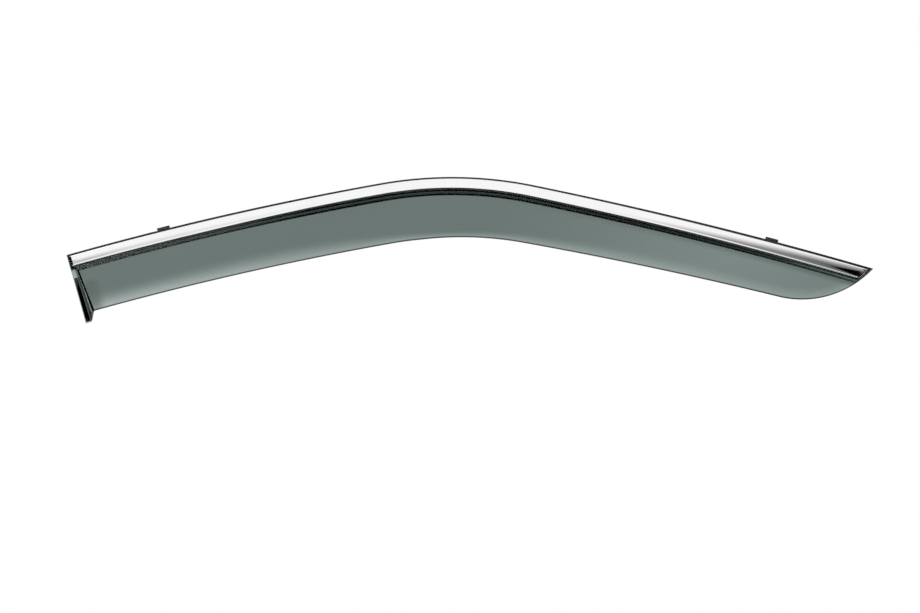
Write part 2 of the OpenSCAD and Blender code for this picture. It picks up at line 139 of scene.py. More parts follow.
# Clips and the stakes that hold them
CLIP_REAR_AT = 118
CLIP_FRONT_AT = 124
CLIP_W = 15
CLIP_T = 0.6
CLIP_LEG = 13
CLIP_RISE = 3
CLIP_GRIP = 6
CLIP_DROP = 9
CLIP_BEND_R = 1.5
CLIP_FLARE_TURN = math.radians(28)
CLIP_FLARE = 2
STAKE_D = 2.4
STAKE_PITCH = 8
STAKE_HEAD_D = 4
STAKE_PLAY = 0.1
STAKE_ROOT = 1
HEAD_GAP = 0.1


def ramp(v):
    return max(0.0, min(1.0, v))


def ease(v):
    u = ramp(v)
    return u * u * (3 - 2 * u)


def mix(a, b, v):
    return a + (b - a) * v


def shares(steps):
    """Even shares from 0 to 1."""
    return [i / steps for i in range(steps + 1)]


# Places on the deflector: s runs along the top edge from its highest point, t square down from it


def along(turn, r):
    return Vector((math.sin(turn), math.cos(turn))) * r


CROWN_REAR_LEN = CROWN_R * CROWN_REAR
CROWN_FRONT_LEN = CROWN_R * CROWN_FRONT
REAR_S = -CROWN_REAR_LEN - REAR_RUN_LEN
TIP_S = CROWN_FRONT_LEN + FRONT_RUN_LEN
APEX_Z = 7.3
CROWN_CENTRE = Vector((0, APEX_Z - CROWN_R))
REAR_CENTRE = CROWN_CENTRE + along(-CROWN_REAR, CROWN_R - REAR_RUN_R)
FRONT_CENTRE = CROWN_CENTRE + along(CROWN_FRONT, CROWN_R - FRONT_RUN_R)


def heading(s):
    """Slope of the top edge, in radians, falling towards the front."""
    if s < -CROWN_REAR_LEN:
        return -CROWN_REAR + (s + CROWN_REAR_LEN) / REAR_RUN_R
    if s > CROWN_FRONT_LEN:
        return CROWN_FRONT + (s - CROWN_FRONT_LEN) / FRONT_RUN_R
    return s / CROWN_R


def on_door(s, t):
    if s < -CROWN_REAR_LEN:
        return REAR_CENTRE + along(heading(s), REAR_RUN_R - t)
    if s > CROWN_FRONT_LEN:
        return FRONT_CENTRE + along(heading(s), FRONT_RUN_R - t)
    return CROWN_CENTRE + along(heading(s), CROWN_R - t)


def place(s, t, depth):
    """The point at s and t, depth off the door, in metres."""
    x, z = on_door(s, t)
    return Vector((x, -depth, z)) * MM


NOSE_S = TIP_S - math.sqrt(NOSE_R**2 - (NOSE_R - FRONT_W) ** 2)


def lower_edge(s):
    """Width of the moulding at s."""
    if s < NOSE_S:
        start = -CROWN_REAR_LEN / 2
        return mix(REAR_W, FRONT_W, ramp((s - start) / (NOSE_S - start)))
    return FRONT_W - NOSE_R + math.sqrt(max(0, NOSE_R**2 - (s - NOSE_S) ** 2))


def nose_at(t):
    """Where the nose's arc crosses the line t."""
    return NOSE_S + math.sqrt(NOSE_R**2 - (t + NOSE_R - FRONT_W) ** 2)


def trim_low(s):
    """Distance from the top edge to the trim's lower edge."""
    if s < 0:
        return mix(TRIM_CROWN_H, TRIM_REAR_H, ease((-s - TRIM_WIDE_AT) / TRIM_WIDE_LEN))
    return mix(TRIM_CROWN_H, TRIM_TIP_H, ramp(s / TIP_S) ** TRIM_GROW)


def trim_top(s):
    """Distance from the top edge to the trim's upper edge."""
    return mix(TRIM_CROWN_REVEAL, TRIM_REVEAL, ease(abs(s) / TRIM_REVEAL_LEN))


def flange_at(s):
    return trim_low(s) + TRIM_SEAT


def shoulder(s):
    """Slope of the shoulder, steeper towards the front."""
    run = (s - REAR_S) / (TIP_S - REAR_S)
    return mix(SHOULDER_REAR, SHOULDER_FRONT, ease(run / SHOULDER_SHARE))


# Cross-section of the moulding: flange, bend, shoulder, bend and blade. side is a face's distance
# from the middle of the wall, positive on the outside.
HALF_WALL = WALL / 2
EDGE_R = EDGE_T / 2
REAR_FLANGE_H = flange_at(REAR_S)
BEND_H = SHOULDER_OUT - BLADE_BEND_R * math.cos(LEAN)
BLADE_T = BEND_LOW - BLADE_BEND_R * math.sin(LEAN)


def flange_low(turn):
    """Where the flange ends in the plain cross-section whose shoulder has the slope turn."""
    rise = FLANGE_BEND_R * (1 - math.cos(turn)) + BLADE_BEND_R * (math.cos(LEAN) - math.cos(turn))
    flat = (SHOULDER_OUT - rise) / math.tan(turn)
    return BEND_LOW - (FLANGE_BEND_R + BLADE_BEND_R) * math.sin(turn) - flat


def section_h(u, side, w, turn):
    """Height of a face over the middle of the flange, at u in the plain cross-section."""
    r1, r2 = FLANGE_BEND_R - side, BLADE_BEND_R + side
    u0 = flange_low(turn)
    u1 = u0 + r1 * math.sin(turn)
    u2 = BEND_LOW - r2 * math.sin(turn)
    u3 = BEND_LOW - r2 * math.sin(LEAN)
    if u <= u0:
        return side
    if u < u1:
        return FLANGE_BEND_R - math.sqrt(r1**2 - (u - u0) ** 2)
    if u < u2:
        return FLANGE_BEND_R - r1 * math.cos(turn) + (u - u1) * math.tan(turn)
    if u < u3:
        return BEND_H + math.sqrt(r2**2 - (u - BEND_LOW) ** 2)
    f = (u - u3) / max(1, w - u3)
    return BEND_H + r2 * math.cos(LEAN) + (u - u3) * math.tan(LEAN) + 4 * BLADE_BOW * f * (1 - f)


def spread(s, u):
    """Place at s of a place u in the plain cross-section, whose flange has another width."""
    low = flange_low(shoulder(s))
    if u <= RIM_R or u >= BEND_LOW:
        return u
    if u <= low:
        return mix(RIM_R, flange_at(s), (u - RIM_R) / (low - RIM_R))
    return mix(flange_at(s), BEND_LOW, (u - low) / (BEND_LOW - low))


def gathered(s, t):
    """The inverse of spread, from the flange down."""
    if t >= BEND_LOW:
        return t
    low = flange_at(s)
    return mix(flange_low(shoulder(s)), BEND_LOW, ramp((t - low) / (BEND_LOW - low)))


def stand_off(s):
    """Share of the full stand-off that is left at s."""
    return mix(1, NOSE_OUT / SHOULDER_OUT, ease((s - TIP_S + NOSE_FADE) / NOSE_FADE))


def edge_at(s):
    """Thickness of the lower edge."""
    return mix(EDGE_REAR_T, EDGE_T, ease((s - REAR_S) / REAR_RUN_LEN))


def half_wall(s, t, w):
    """Half the wall, which thins towards the front of the blade and down to the lower edge."""
    blade = mix(WALL, FRONT_BLADE_T, ease((s - THIN_START) / THIN_LEN))
    fade = mix(CROWN_FADE, REAR_FADE if s < 0 else FRONT_FADE, ease(abs(s) / FADE_LEN))
    thin = mix(blade, edge_at(s), ease(1 - (w - t) / fade))
    return mix(WALL, thin, ease((t - BLADE_T) / BLADE_BLEND)) / 2


# Rows run down the cross-section. goal gives a row's place in the plain cross-section for a face
# at side, room is how close it may come to the lower edge, keep is the share of the half wall
# that is left there, and drop is what the rounded rim takes off the outside.
Row = namedtuple("Row", "goal room keep drop")
RIM_STEPS = 4
FLANGE_STEPS = 3
BEND_STEPS = 10
BLADE_STEPS = 18
EDGE_STEPS = 7
LAST_EDGE_TURN = math.radians(82)
ROW_GAP = 0.05


# Each goal is a function of the face's side, the width w and the shoulder's slope turn


def rim_goal(f):
    return lambda side, w, turn: RIM_R * (1 - math.cos(f * QUARTER_TURN))


def flange_goal(f):
    return lambda side, w, turn: mix(RIM_R, flange_low(turn), f)


def upper_bend_goal(f):
    return lambda side, w, turn: flange_low(turn) + (FLANGE_BEND_R - side) * math.sin(turn * f)


def lower_bend_goal(f):
    return lambda side, w, turn: BEND_LOW - (BLADE_BEND_R + side) * math.sin(mix(turn, LEAN, f))


def blade_goal(f):
    def goal(side, w, turn):
        start = BEND_LOW - (BLADE_BEND_R + side) * math.sin(LEAN)
        return mix(start, max(start, w - EDGE_R), f)

    return goal


def edge_goal(side, w, turn):
    return w


def section_rows():
    goals = [rim_goal(f) for f in shares(RIM_STEPS)]
    drops = [RIM_R * (1 - math.sin(f * QUARTER_TURN)) for f in shares(RIM_STEPS)]
    goals += [flange_goal(f) for f in shares(FLANGE_STEPS)[1:]]
    goals += [upper_bend_goal(f) for f in shares(BEND_STEPS)[1:]]
    goals += [lower_bend_goal(f) for f in shares(BEND_STEPS)]
    goals += [blade_goal(f) for f in shares(BLADE_STEPS)[1:]]
    drops += [0] * (len(goals) - len(drops))
    rows = []
    for j, (goal, drop) in enumerate(zip(goals, drops)):
        rows.append(Row(goal, EDGE_R + (len(goals) - 1 - j) * ROW_GAP, 1, drop))
    for f in shares(EDGE_STEPS)[1:]:
        turn = LAST_EDGE_TURN * f
        rows.append(Row(edge_goal, EDGE_R * (1 - math.sin(turn)), math.cos(turn), 0))
    return rows


def row_t(s, row, side, w):
    """Distance of a row from the top edge."""
    return max(0, min(spread(s, row.goal(side, w, shoulder(s))), w - row.room))


def face_h(s, t, row, face, w):
    """Height of a face, 1 outside and -1 inside, over the middle of the flange."""
    side = face * half_wall(s, t, w) * row.keep - (row.drop if face > 0 else 0)
    return side + (section_h(gathered(s, t), side, w, shoulder(s)) - side) * stand_off(s)


# Rear end: each row steps down from the blade over the return wall to the foot lip
WALL_TURN = QUARTER_TURN - WALL_DRAFT
TURN_STEPS = 10
WALL_STEPS = 4
JOIN_STEPS = 14
JOIN_LEN = 40
JOIN_S = REAR_S + JOIN_LEN


def lip_w(t):
    return mix(LIP_TOP_W, LIP_LOW_W, ramp((t - REAR_FLANGE_H) / (FOOT_W - REAR_FLANGE_H)))


def wall_column(row, face):
    """One row's points across the return wall, from foot lip to blade, as (s, t, height)."""
    w = REAR_W
    t = row_t(REAR_S, row, face * HALF_WALL, w)
    low = face * HALF_WALL * row.keep - (row.drop if face > 0 else 0)
    rise = max(0, face_h(REAR_S, t, row, face, w) - low)
    r_low, r_high = ROOT_R - low, CORNER_R + low
    shrink = min(1, rise / ((r_low + r_high) * (1 - math.cos(WALL_TURN))))
    foot = lip_w(t) + low * math.tan(WALL_DRAFT) - low / math.cos(WALL_DRAFT)
    head = foot + rise * math.tan(WALL_DRAFT)
    reach = math.tan(WALL_TURN / 2)
    root, corner = [], []
    for f in shares(TURN_STEPS):
        turn, r = WALL_TURN * f, r_low * shrink
        root.append((foot - r * (reach - math.sin(turn)), r * (1 - math.cos(turn))))
        turn, r = WALL_TURN * (1 - f), r_high * shrink
        corner.append((head + r * (reach - math.sin(turn)), rise - r * (1 - math.cos(turn))))
    between = [
        (mix(root[-1][0], corner[0][0], f), mix(root[-1][1], corner[0][1], f))
        for f in shares(WALL_STEPS)[1:-1]
    ]
    thin = (WALL - LIP_T) * row.keep * ease((t - REAR_FLANGE_H) / LIP_START) if face > 0 else 0
    points = []
    for s, up in root + between + corner:
        share = up / rise if rise > 0 else 0
        stretch = (mix(FOOT_W, w, share) - REAR_FLANGE_H) / (w - REAR_FLANGE_H)
        down = t if t <= REAR_FLANGE_H else REAR_FLANGE_H + (t - REAR_FLANGE_H) * stretch
        points.append((s, down, low + up - thin * (1 - ease(up / LIP_BLEND))))
    return points


def steps(start, end, size):
    count = math.ceil((end - start) / size)
    return [mix(start, end, i / count) for i in range(count)]


RUN_STEP = 5
CROWN_STEP = 3


def run_stations(start, end):
    return (
        steps(start, -CROWN_REAR_LEN, RUN_STEP)
        + steps(-CROWN_REAR_LEN, CROWN_FRONT_LEN, CROWN_STEP)
        + steps(CROWN_FRONT_LEN, end, RUN_STEP)
    )


NOSE_STEPS = 40
LAST_W = 4.5
TIP_W = 0.9


def nose_stations():
    turn = math.acos((LAST_W + NOSE_R - FRONT_W) / NOSE_R)
    return [NOSE_S + NOSE_R * math.sin(turn * f) for f in shares(NOSE_STEPS)]


def moulding_face(rows, face):
    """Columns of points on one face, from the foot lip's edge to the tip."""
    base = TAPE_T + HALF_WALL
    walls = [wall_column(row, face) for row in rows]
    columns = [[place(REAR_S, wall[0][1], base + wall[0][2]) for wall in walls]]
    for k in range(len(walls[0])):
        points = [wall[k] for wall in walls]
        columns.append([place(REAR_S + s, t, base + up) for s, t, up in points])
    heads = [wall[-1] for wall in walls]
    for f in shares(JOIN_STEPS)[1:-1]:
        columns.append([place(mix(REAR_S + s, JOIN_S, f * f), t, base + up) for s, t, up in heads])
    for s in run_stations(JOIN_S, NOSE_S) + nose_stations():
        w = lower_edge(s)
        column = []
        for row in rows:
            t = row_t(s, row, face * HALF_WALL, w)
            column.append(place(s, t, base + face_h(s, t, row, face, w)))
        columns.append(column)
    s, last_s = nose_at(TIP_W), nose_at(LAST_W)
    tip = []
    for row in rows:
        t = row_t(last_s, row, face * HALF_WALL, LAST_W) * TIP_W / LAST_W
        tip.append(place(s, t, base + face_h(s, t, row, face, TIP_W)))
    return columns + [tip]


# Meshes

WELD = 2e-6
SHARP = math.radians(32)


def piece(name, verts, faces, slot, replaced):
    """A closed mesh with smooth shading, hung on the body, that stands for a node of the model."""
    mesh = bpy.data.meshes.new(name)
    work = bmesh.new()
    points = [work.verts.new(p) for p in verts]
    for face in faces:
        work.faces.new([points[i] for i in face])
    bmesh.ops.remove_doubles(work, verts=work.verts, dist=WELD)
    bmesh.ops.dissolve_degenerate(work, edges=work.edges, dist=WELD)
    bmesh.ops.recalc_face_normals(work, faces=work.faces)
    work.to_mesh(mesh)
    work.free()
    mesh.shade_smooth()
    mesh.set_sharp_from_angle(angle=SHARP)
    obj = bpy.data.objects.new(name, mesh)
    bpy.context.scene.collection.objects.link(obj)
    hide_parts(replaced)
    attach(obj, "root")
    return obj


def loft(columns):
    """Points and faces of a closed shape through columns, each a pair of lists of points that
    face each other across the piece."""
    rings = [first + second[::-1] for first, second in columns]
    n = len(rings[0])
    faces = []
    for c in range(len(rings) - 1):
        for i in range(n):
            k = (i + 1) % n
            faces.append((c * n + i, (c + 1) * n + i, (c + 1) * n + k, c * n + k))
    last = (len(rings) - 1) * n
    for i in range(n // 2 - 1):
        faces.append((i, i + 1, n - 2 - i, n - 1 - i))
        faces.append((last + n - 1 - i, last + n - 2 - i, last + i + 1, last + i))
    return [p for ring in rings for p in ring], faces


def boolean(obj, other, operation):
    """Adds another mesh to a piece or cuts it away, and deletes the other one."""
    modifier = obj.modifiers.new(operation, "BOOLEAN")
    modifier.operation = operation
    modifier.object = other
    modifier.solver = "MANIFOLD"
    bpy.context.view_layer.update()
    graph = bpy.context.evaluated_depsgraph_get()
    old = obj.data
    obj.data = bpy.data.meshes.new_from_object(obj.evaluated_get(graph))
    obj.modifiers.clear()
    obj.data.name = obj.name
    obj.data.materials.clear()
    bpy.data.meshes.remove(old)
    bpy.data.objects.remove(other)
    obj.data.shade_smooth()
    obj.data.set_sharp_from_angle(angle=SHARP)


def at_edge(s, x, y, z):
    """A point in the axes of the top edge at s, where x runs along the edge, y to the door and z
    up, square to the edge, in metres."""
    turn = heading(s)
    start = on_door(s, 0)
    ahead = start[0] + x * math.cos(turn) + z * math.sin(turn)
    up = start[1] - x * math.sin(turn) + z * math.cos(turn)
    return Vector((ahead, y, up)) * MM


CLIP_REAR_S = REAR_S + CLIP_REAR_AT
CLIP_FRONT_S = TIP_S - CLIP_FRONT_AT
STAKE_T = CLIP_LEG / 2
ROUND_STEPS = 40


def turned(profile, s, x):
    """A closed turned shape at a stake's place, from a profile of radii and places y."""
    turns = [2 * math.pi * i / ROUND_STEPS for i in range(ROUND_STEPS)]
    rings = []
    for r, y in profile:
        around = [(x + r * math.cos(a), -STAKE_T + r * math.sin(a)) for a in turns]
        rings.append([at_edge(s, ring_x, y, ring_z) for ring_x, ring_z in around])
    mesh = bpy.data.meshes.new("turned")
    work = bmesh.new()
    rows = [[work.verts.new(p) for p in ring] for ring in rings]
    for low, high in zip(rows, rows[1:]):
        for i in range(ROUND_STEPS):
            k = (i + 1) % ROUND_STEPS
            work.faces.new((low[i], low[k], high[k], high[i]))
    work.faces.new(rows[0][::-1])
    work.faces.new(rows[-1])
    bmesh.ops.recalc_face_normals(work, faces=work.faces)
    work.to_mesh(mesh)
    work.free()
    obj = bpy.data.objects.new("turned", mesh)
    bpy.context.scene.collection.objects.link(obj)
    return obj


DOME_STEPS = 6
DOME_FLAT = 1 / 8


def stake_profile():
    """A stake from its root in the flange to its domed head over the clip's leg."""
    r, head_r = STAKE_D / 2, STAKE_HEAD_D / 2
    seat, top = -TAPE_T + CLIP_T, -HEAD_GAP
    dome = []
    for f in shares(DOME_STEPS)[:-1]:
        turn = f * QUARTER_TURN
        dome.append((head_r * math.cos(turn), mix(seat, top, math.sin(turn))))
    return [(r, -TAPE_T - STAKE_ROOT), (r, seat)] + dome + [(head_r * DOME_FLAT, top)]


# The painted dark edge line's mask starts on the blade, ahead of the return wall
BLADE_START = REAR_S + 9
FAR_FROM_EDGE = 20


def visor_moulding():
    rows = section_rows()
    columns = list(zip(moulding_face(rows, 1), moulding_face(rows, -1)))
    obj = piece("visor_shell", *loft(columns), "smoked_plastic", "visor_moulding")
    for s in (CLIP_REAR_S, CLIP_FRONT_S):
        for side in (-1, 1):
            boolean(obj, turned(stake_profile(), s, side * STAKE_PITCH / 2), "UNION")
    measure_from_edges(obj)
    return obj


def off_door(x, z):
    """The place (s, t) of a point of the door's plane."""
    point = Vector((x, z))
    turn = math.atan2(*(point - CROWN_CENTRE))
    if turn < -CROWN_REAR:
        centre, r, start, base = REAR_CENTRE, REAR_RUN_R, -CROWN_REAR, -CROWN_REAR_LEN
    elif turn > CROWN_FRONT:
        centre, r, start, base = FRONT_CENTRE, FRONT_RUN_R, CROWN_FRONT, CROWN_FRONT_LEN
    else:
        centre, r, start, base = CROWN_CENTRE, CROWN_R, 0, 0
    spoke = point - centre
    return base + (math.atan2(*spoke) - start) * r, r - spoke.length


def measure_from_edges(obj):
    """Keeps each point's distances from the blade's lower edge, from the top edge and from the
    rear end, in mm, for the painted shade masks of the material."""
    kept = obj.data.attributes
    names = ("from_lower_edge", "from_top_edge", "from_rear_end")
    for name in names:
        kept.new(name, "FLOAT", "POINT")
    lows, tops, rears = [kept[name].data for name in names]
    for i, point in enumerate(obj.data.vertices):
        s, t = off_door(point.co.x / MM, point.co.z / MM)
        lows[i].value = lower_edge(s) - t if s > BLADE_START else FAR_FROM_EDGE
        tops[i].value = t
        rears[i].value = s - REAR_S


# Trim: a crowned band and a low bead along its lower edge, both rounded off at the rims
RIM_TURNS = 5
BAND_STEPS = 22
BEAD_STEPS = 8
END_SHARES = [0, 0.03, 0.09, 0.18, 0.3, 0.45, 0.62, 0.8, 1]
# The first column of the flat run lies close to the rounded end, so the shading turns flat there
FLAT_START = 0.4


def trim_places(top, low):
    """Places down the trim's face, from its upper to its lower edge."""
    rim = [TRIM_RIM_R * (1 - math.cos(f * QUARTER_TURN)) for f in shares(RIM_TURNS)]
    valley = low - BEAD_W
    band = [mix(top + TRIM_RIM_R, valley, f) for f in shares(BAND_STEPS)[1:]]
    bead = [mix(valley, low - TRIM_RIM_R, f) for f in shares(BEAD_STEPS)[1:]]
    return [top + v for v in rim] + band + bead + [low - v for v in rim[-2::-1]]


def trim_h(t, top, low):
    """Height of the trim's face over the flange."""
    valley = low - BEAD_W
    f = (t - top) / (valley - top)
    g = (t - valley) / BEAD_W
    raised = 4 * TRIM_CROWN * f * (1 - f) if f < 1 else BEAD_RISE * math.sin(math.pi * g)
    rim = ramp(min(t - top, low - t) / TRIM_RIM_R)
    return TRIM_SIDE_T + raised - TRIM_RIM_R * (1 - round_off(rim))


def round_off(v):
    return math.sqrt(1 - (1 - ramp(v)) ** 2)


def trim_columns():
    """The trim's columns as pairs of a place along the edge and the share that has risen there."""
    stop = nose_at(TRIM_TIP_H) - TRIM_TIP_GAP
    start = REAR_S + TRIM_END_GAP
    inset = TRIM_END_R + FLAT_START
    first = [(start + f * TRIM_END_R, round_off(f)) for f in END_SHARES]
    middle = [(s, 1) for s in run_stations(start + inset, stop - inset) + [stop - inset]]
    last = [(stop - f * TRIM_END_R, round_off(f)) for f in END_SHARES[::-1]]
    return first + middle + last, stop


def chrome_trim():
    stations, stop = trim_columns()
    base = TAPE_T + WALL
    columns = []
    stop_places = trim_places(trim_top(stop), trim_low(stop))
    for s, risen in stations:
        lean = ease((s - stop + TRIM_LEAN_LEN) / TRIM_LEAN_LEN)
        front, back = [], []
        for i, stop_t in enumerate(stop_places):
            place_s = s + (nose_at(stop_t) - TRIM_TIP_GAP - stop) * lean
            top, low = trim_top(place_s), trim_low(place_s)
            t = trim_places(top, low)[i]
            front.append(place(place_s, t, base + max(TRIM_END_T, trim_h(t, top, low) * risen)))
            back.append(place(place_s, t, base))
        columns.append((front, back))
    return piece("trim_strip", *loft(columns), "bright_trim", "chrome_trim")


# Foam: a strip with soft edges and slightly bulging sides, stuck between the flange and the door
FOAM_ROWS = [0, 0.012, 0.035, 0.08, 0.2, 0.4, 0.6, 0.8, 0.92, 0.965, 0.988, 1]
FOAM_EDGE = 0.16
FOAM_SIDE_SHARE = 0.08
FOAM_END_SHARES = [0, 0.15, 0.45, 1]
FOAM_STEP = 4
STEP_W = 0.15
NOTCH_T = CLIP_LEG + CLIP_GAP


def foam_half(f):
    """Share of the strip's half thickness at the share f of its width."""
    side = min(f, 1 - f) / FOAM_SIDE_SHARE
    return 1 - FOAM_EDGE * (1 - round_off(side))


def foam_strip(name, start_at, end_at, top, low, step=None):
    """A strip between the lines top and low, whose ends are given by functions of t. Where its
    ends have a step, the rows lie close together there."""
    columns = []
    count = math.ceil((end_at(low) - start_at(low)) / FOAM_STEP)
    places = [(f, 1.0) for f in shares(count)]
    ends = [(0, f) for f in FOAM_END_SHARES[:-1]]
    rows = [mix(top, low, v) for v in FOAM_ROWS]
    if step:
        clear = [t for t in rows if abs(t - step) > STEP_W]
        rows = sorted(clear + [step - STEP_W, step, step + STEP_W])
    for f, risen in ends + places + [(1, r) for _, r in ends[::-1]]:
        front, back = [], []
        inset = FOAM_EDGE * (1 - round_off(risen))
        for t in rows:
            half = TAPE_T / 2 * (foam_half((t - top) / (low - top)) - inset)
            push = (1 - risen) * FOAM_EDGE * (1 if f > 0.5 else -1)
            s = mix(start_at(t) + FOAM_EDGE, end_at(t) - FOAM_EDGE, f) + push
            front.append(place(s, t, TAPE_T / 2 + half))
            back.append(place(s, t, TAPE_T / 2 - half))
        columns.append((front, back))
    return piece(name + "_foam", *loft(columns), "foam_tape", name)


def foam():
    top, low = TAPE_INSET, TAPE_INSET + TAPE_W
    room = CLIP_W / 2 + CLIP_GAP
    rear_end, front_start = CLIP_REAR_S - room, CLIP_FRONT_S + room

    def middle_start(t):
        return CLIP_REAR_S + room if t < NOTCH_T else rear_end + CLIP_GAP

    def middle_end(t):
        return CLIP_FRONT_S - room if t < NOTCH_T else front_start - CLIP_GAP

    made = [
        foam_strip("tape_rear", lambda t: REAR_S + TAPE_INSET, lambda t: rear_end, top, low),
        foam_strip("tape_middle", middle_start, middle_end, top, low, step=NOTCH_T),
        foam_strip("tape_front", lambda t: front_start, lambda t: nose_at(t) - TAPE_GAP, top, low),
    ]
    left = REAR_S + PAD_INSET
    pad_end = FOOT_W - PAD_INSET - EDGE_R

    def pad_right(t):
        return left + mix(PAD_TOP_W, PAD_LOW_W, (t - PAD_START) / (pad_end - PAD_START))

    made.append(foam_strip("foot_pad", lambda t: left, pad_right, PAD_START, pad_end))
    return made


# Clips: a spring strip bent over the door's edge, with rounded sides and two holes for the stakes
CLIP_TURN_STEPS = 14
CLIP_EDGE = 0.14
CLIP_EDGE_STEPS = 3
LEG_STEPS = 4


def clip_lines():
    """The strip's outside and inside in its side view, as points that face each other."""
    outer_r = CLIP_BEND_R + CLIP_T
    top = CLIP_RISE - outer_r
    leg_bend = (-TAPE_T + outer_r, top)
    free_bend = (CLIP_GRIP - CLIP_BEND_R, top)
    flare_bend = (CLIP_GRIP + outer_r, top - CLIP_DROP)
    outside, inside = [], []

    def turn(centre, out_r, in_r, start, end):
        for f in shares(CLIP_TURN_STEPS):
            a = math.radians(mix(start, end, f))
            way = Vector((math.cos(a), math.sin(a)))
            outside.append(Vector(centre) + way * out_r)
            inside.append(Vector(centre) + way * in_r)

    for f in shares(LEG_STEPS)[:-1]:
        y = mix(-CLIP_LEG, top, f)
        outside.append(Vector((-TAPE_T, y)))
        inside.append(Vector((-TAPE_T + CLIP_T, y)))
    turn(leg_bend, outer_r, CLIP_BEND_R, 180, 90)
    turn(free_bend, outer_r, CLIP_BEND_R, 90, 0)
    turn(flare_bend, CLIP_BEND_R, outer_r, 180, 180 + math.degrees(CLIP_FLARE_TURN))
    way = Vector((math.sin(CLIP_FLARE_TURN), -math.cos(CLIP_FLARE_TURN))) * CLIP_FLARE
    outside.append(outside[-1] + way)
    inside.append(inside[-1] + way)
    return outside, inside


def clip(name, s):
    outside, inside = clip_lines()
    half = CLIP_W / 2
    edge = []
    for f in shares(CLIP_EDGE_STEPS):
        turn = f * QUARTER_TURN
        edge.append((CLIP_EDGE * (1 - math.cos(turn)), CLIP_EDGE * (1 - math.sin(turn))))
    across = [(-half + x, inset) for x, inset in edge]
    across += [(half - x, inset) for x, inset in edge[::-1]]
    columns = []
    for x, inset in across:
        share = inset / CLIP_T
        first = [at_edge(s, x, *a.lerp(b, share)) for a, b in zip(outside, inside)]
        second = [at_edge(s, x, *b.lerp(a, share)) for a, b in zip(outside, inside)]
        columns.append((first, second))
    obj = piece(name + "_strip", *loft(columns), "spring_steel", name)
    r = STAKE_D / 2 + STAKE_PLAY
    hole = [(r, -2 * TAPE_T), (r, TAPE_T)]
    for side in (-1, 1):
        boolean(obj, turned(hole, s, side * STAKE_PITCH / 2), "DIFFERENCE")
    return obj


# Materials


def add(tree, kind, inputs=None, **settings):
    """A new node. An input is a value or another node's output."""
    made = tree.nodes.new(kind)
    for key, value in settings.items():
        setattr(made, key, value)
    for key, value in (inputs or {}).items():
        if isinstance(value, bpy.types.NodeSocket):
            tree.links.new(value, made.inputs[key])
        else:
            made.inputs[key].default_value = value
    return made


def folded(tree, operation, values):
    """The values joined one after another by a math operation."""
    total = values[0]
    for value in values[1:]:
        total = add(tree, "ShaderNodeMath", {0: total, 1: value}, operation=operation).outputs[0]
    return total


def sum_of(tree, *values):
    return folded(tree, "ADD", values)


def difference(tree, a, b):
    return folded(tree, "SUBTRACT", (a, b))


def product(tree, *values):
    return folded(tree, "MULTIPLY", values)


def any_of(tree, *values):
    return folded(tree, "MAXIMUM", values)


def slope_of(tree, value, span, low=0.0, high=1.0):
    """A smooth change from low to high while value goes from the start to the end of span."""
    ends = {"From Min": span[0], "From Max": span[1], "To Min": low, "To Max": high}
    made = add(
        tree,
        "ShaderNodeMapRange",
        {"Value": value, **ends},
        interpolation_type="SMOOTHSTEP",
    )
    return made.outputs["Result"]


def new_group(name, inputs, outputs):
    """An empty node group with its own inputs and outputs, and the nodes for both."""
    group = bpy.data.node_groups.new(name, "ShaderNodeTree")
    for label, kind, value in inputs:
        socket = group.interface.new_socket(label, in_out="INPUT", socket_type=kind)
        socket.default_value = value
    for label, kind in outputs:
        group.interface.new_socket(label, in_out="OUTPUT", socket_type=kind)
    return group, add(group, "NodeGroupInput"), add(group, "NodeGroupOutput")


def noise_of(group, size, detail, roughness):
    """Noise over the surface, in patches of the given size in metres."""
    where = add(group, "ShaderNodeTexCoord").outputs["Object"]
    scale = folded(group, "DIVIDE", (1.0, size))
    noise = add(
        group,
        "ShaderNodeTexNoise",
        {"Vector": where, "Scale": scale, "Detail": detail, "Roughness": roughness},
    )
    return noise.outputs["Fac"]


def mottle_group():
    """A soft, slow change over the surface, from Low to High."""
    group, given, out = new_group(
        "Mottle",
        [
            ("Size", "NodeSocketFloat", 0.02),
            ("Low", "NodeSocketFloat", 0.0),
            ("High", "NodeSocketFloat", 1.0),
        ],
        [("Value", "NodeSocketFloat")],
    )
    spread_out = add(
        group,
        "ShaderNodeMapRange",
        {
            "Value": noise_of(group, given.outputs["Size"], 3.0, 0.55),
            "From Min": 0.3,
            "From Max": 0.7,
            "To Min": given.outputs["Low"],
            "To Max": given.outputs["High"],
        },
    )
    group.links.new(spread_out.outputs["Result"], out.inputs["Value"])
    return group


def waviness_group():
    """Normals of a moulded or polished surface that isn't quite even."""
    group, given, out = new_group(
        "Waviness",
        [("Size", "NodeSocketFloat", 0.01), ("Depth", "NodeSocketFloat", 0.00001)],
        [("Normal", "NodeSocketVector")],
    )
    height = noise_of(group, given.outputs["Size"], 1.5, 0.4)
    bump = add(
        group,
        "ShaderNodeBump",
        {"Height": height, "Distance": given.outputs["Depth"], "Strength": 1.0},
    )
    group.links.new(bump.outputs["Normal"], out.inputs["Normal"])
    return group


MOTTLE = mottle_group()
WAVINESS = waviness_group()


def use_group(tree, group, **inputs):
    made = add(tree, "ShaderNodeGroup", node_tree=group)
    for key, value in inputs.items():
        made.inputs[key].default_value = value
    return made


def new_material(name, **settings):
    """A material with a Principled shader. settings are the shader's own plain inputs."""
    material = bpy.data.materials.new(name)
    material.use_nodes = True
    tree = material.node_tree
    shader = tree.nodes["Principled BSDF"]
    for key, value in settings.items():
        shader.inputs[key.replace("_", " ")].default_value = value
    return material, tree, shader


SMOKE_PASSED = (0.287, 0.386, 0.362, 1)
SMOKE_DENSITY = 1335
ACRYLIC_IOR = 1.49
